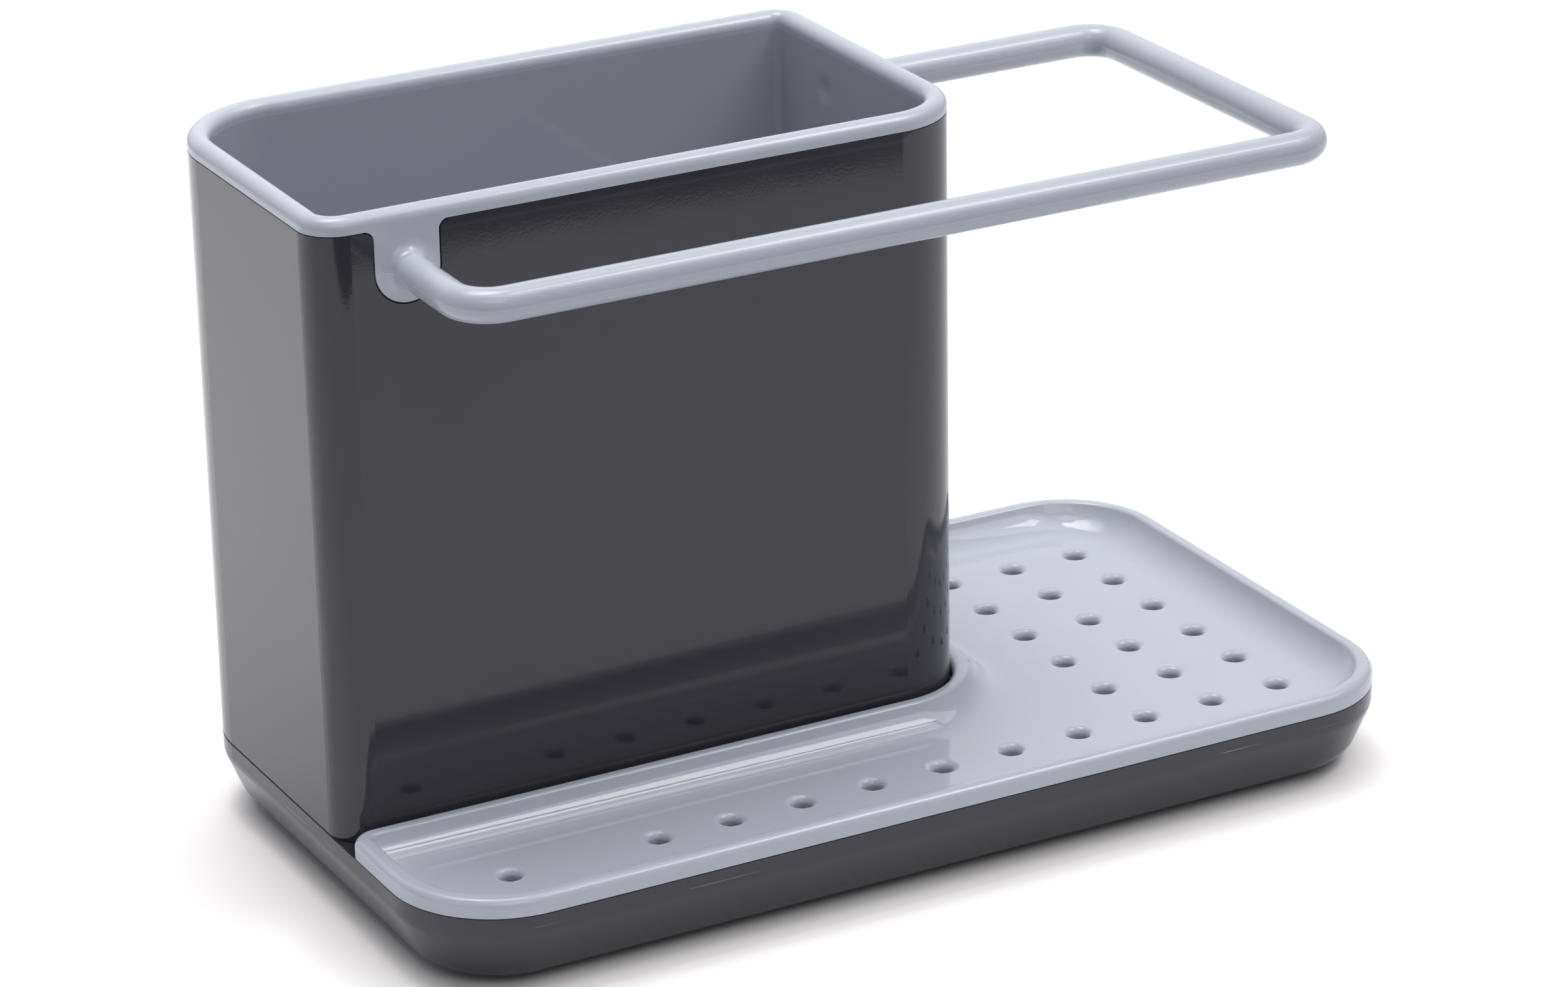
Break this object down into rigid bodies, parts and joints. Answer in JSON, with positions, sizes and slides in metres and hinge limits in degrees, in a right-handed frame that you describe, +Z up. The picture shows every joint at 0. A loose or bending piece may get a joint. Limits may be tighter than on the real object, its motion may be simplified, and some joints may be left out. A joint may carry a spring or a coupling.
{
  "type": "kitchen sink caddy",
  "caption": "Sink caddy: a dark body with an upright cup housing and a reservoir pan, a lift-out divided cup with a towel rail, and an L-shaped draining tray.",
  "frame": {"origin": "bottom centre of the caddy, on the surface that its feet stand on", "axes": "+X to the right along the length, +Y from the front to the back, +Z up"},
  "size_m": [0.205, 0.115, 0.135],
  "materials": {
    "dark_plastic": "gloss",
    "light_plastic": "gloss",
    "foot_rubber": "matte"
  },
  "bodies": {
    "body": {"base_body": "dark_plastic", "foot_front_left": "foot_rubber", "foot_front_right": "foot_rubber", "foot_back_left": "foot_rubber", "foot_back_right": "foot_rubber"},
    "insert": {"insert": "light_plastic", "insert_rim": "light_plastic", "divider": "light_plastic", "towel_rail": "light_plastic"},
    "tray": {"drain_tray": "light_plastic"}
  },
  "joints": [
    {"name": "insert_lift", "type": "slide", "parent": "body", "child": "insert", "axis": [0, 0, 1], "range_m": [0, 0.125]},
    {"name": "tray_lift", "type": "slide", "parent": "body", "child": "tray", "axis": [0, 0, 1], "range_m": [0, 0.09]}
  ]
}
